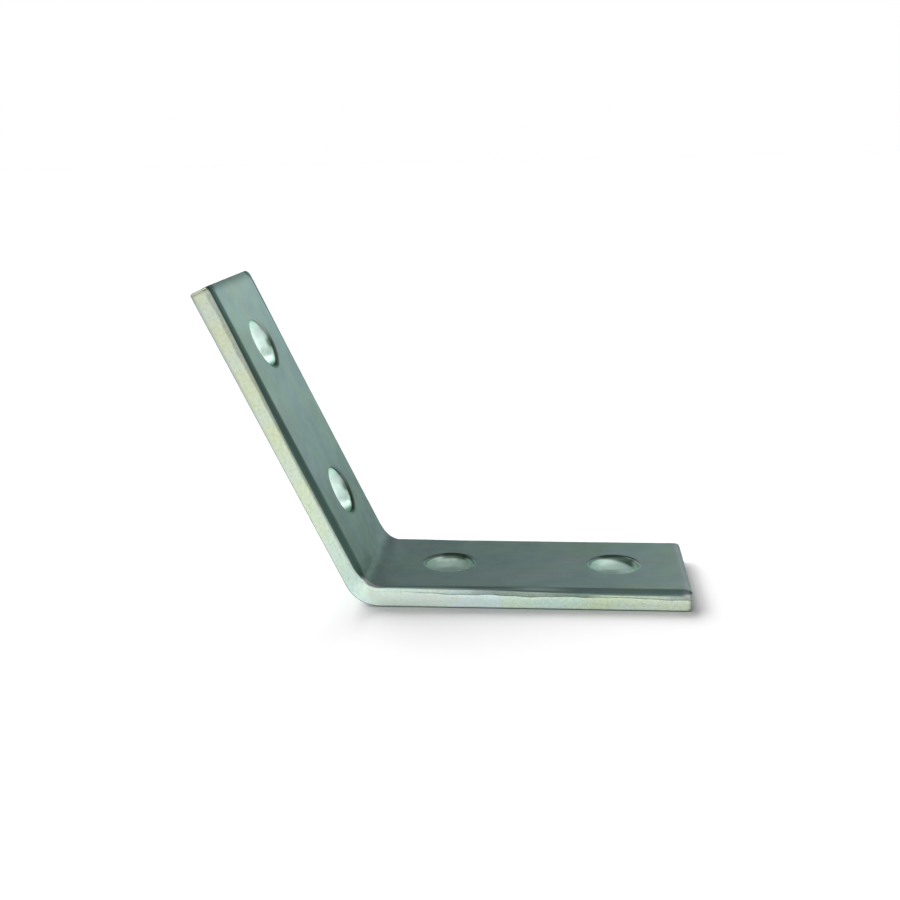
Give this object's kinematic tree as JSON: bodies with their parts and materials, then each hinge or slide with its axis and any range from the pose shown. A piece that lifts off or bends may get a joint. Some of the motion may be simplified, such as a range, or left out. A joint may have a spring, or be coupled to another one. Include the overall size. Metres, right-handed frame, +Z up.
{
  "type": "angle bracket",
  "caption": "Obtuse angle bracket bent from thick zinc-plated steel plate, with round bolt holes in both limbs, for joining framing channel or posts at a fixed angle.",
  "frame": {"origin": "midway between the base's two holes, on the base's outer face, which is the underside it rests on", "axes": "+X along the base to its free end, +Y across the width, +Z up; the leg rises from the bend at -X and leans away from the base"},
  "size_m": [0.1338, 0.0412, 0.09],
  "materials": {
    "zinc_plate": "bright electro-plated zinc with a faint blue and green passivation tint"
  },
  "bodies": {
    "root": {"angle_bracket": "zinc_plate"}
  },
  "joints": []
}
